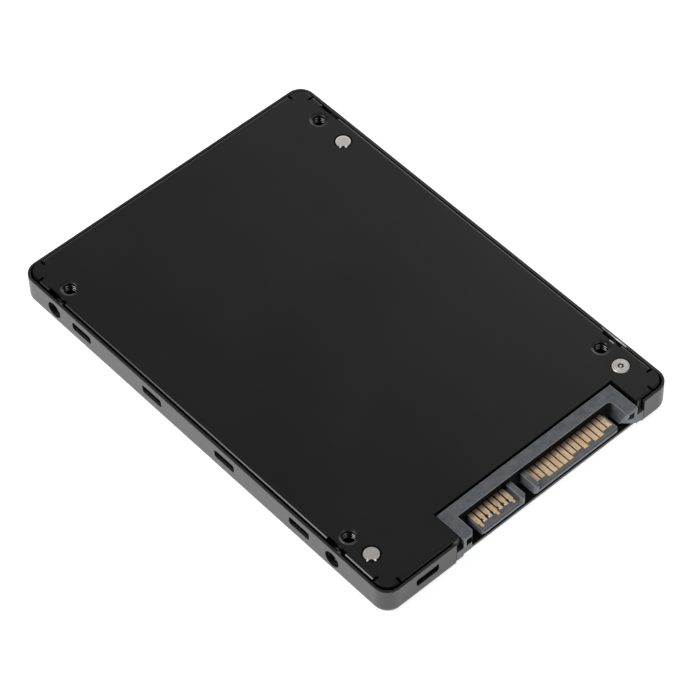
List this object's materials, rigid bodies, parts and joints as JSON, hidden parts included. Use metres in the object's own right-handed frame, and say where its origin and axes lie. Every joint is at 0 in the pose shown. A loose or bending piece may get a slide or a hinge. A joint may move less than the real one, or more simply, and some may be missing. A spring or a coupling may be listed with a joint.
{
  "type": "solid state drive",
  "caption": "Slim 2.5 inch solid state drive: black sheet-metal case, data and power plug at one end, threaded holes in base and sides.",
  "frame": {"origin": "centre of the box's footprint on the label face, the face the drive lies on (Z = 0)", "axes": "+Z out of the mounting face with the four screw holes; the connector end faces -Y; the signal segment is towards -X; Y is the long side"},
  "size_m": [0.0698, 0.1002, 0.007],
  "materials": {
    "shell_paint": "satin",
    "cover_paint": "satin",
    "label_film": "matte",
    "board_laminate": "satin",
    "connector_plastic": "satin",
    "contact_gold": "satin",
    "tinned_metal": "satin",
    "dark_steel": "satin",
    "bright_steel": "satin",
    "screw_steel": "satin",
    "seal_foil": "matte",
    "chip_compound": "matte",
    "can_metal": "satin",
    "ferrite": "matte",
    "tantalum_resin": "satin",
    "ceramic_tan": "satin",
    "resistor_black": "satin",
    "fuse_white": "satin",
    "thermal_pad": "matte"
  },
  "bodies": {
    "root": {"label_shell": "shell_paint", "base_cover": "cover_paint", "product_label": "label_film", "circuit_board": "board_laminate", "connector_housing": "connector_plastic", "signal_contacts": "contact_gold", "power_contacts": "contact_gold", "connector_board_locks": "tinned_metal", "side_mounting_nuts": "dark_steel", "standoffs": "bright_steel", "board_spacers": "bright_steel", "cover_screws": "screw_steel", "tamper_seals": "seal_foil", "controller": "chip_compound", "dram_1": "chip_compound", "dram_2": "chip_compound", "power_management_chip": "chip_compound", "firmware_flash": "chip_compound", "timing_crystal": "can_metal", "power_inductors": "ferrite", "hold_up_capacitors": "tantalum_resin", "ceramic_capacitors": "ceramic_tan", "resistors": "resistor_black", "input_fuse": "fuse_white", "surge_diode": "chip_compound", "controller_thermal_pad": "thermal_pad", "flash_thermal_pads_cover_side": "thermal_pad", "flash_thermal_pads_shell_side": "thermal_pad", "nand_flash_1": "chip_compound", "nand_flash_2": "chip_compound", "nand_flash_3": "chip_compound", "nand_flash_4": "chip_compound", "nand_flash_5": "chip_compound", "nand_flash_6": "chip_compound", "nand_flash_7": "chip_compound", "nand_flash_8": "chip_compound"}
  },
  "joints": []
}
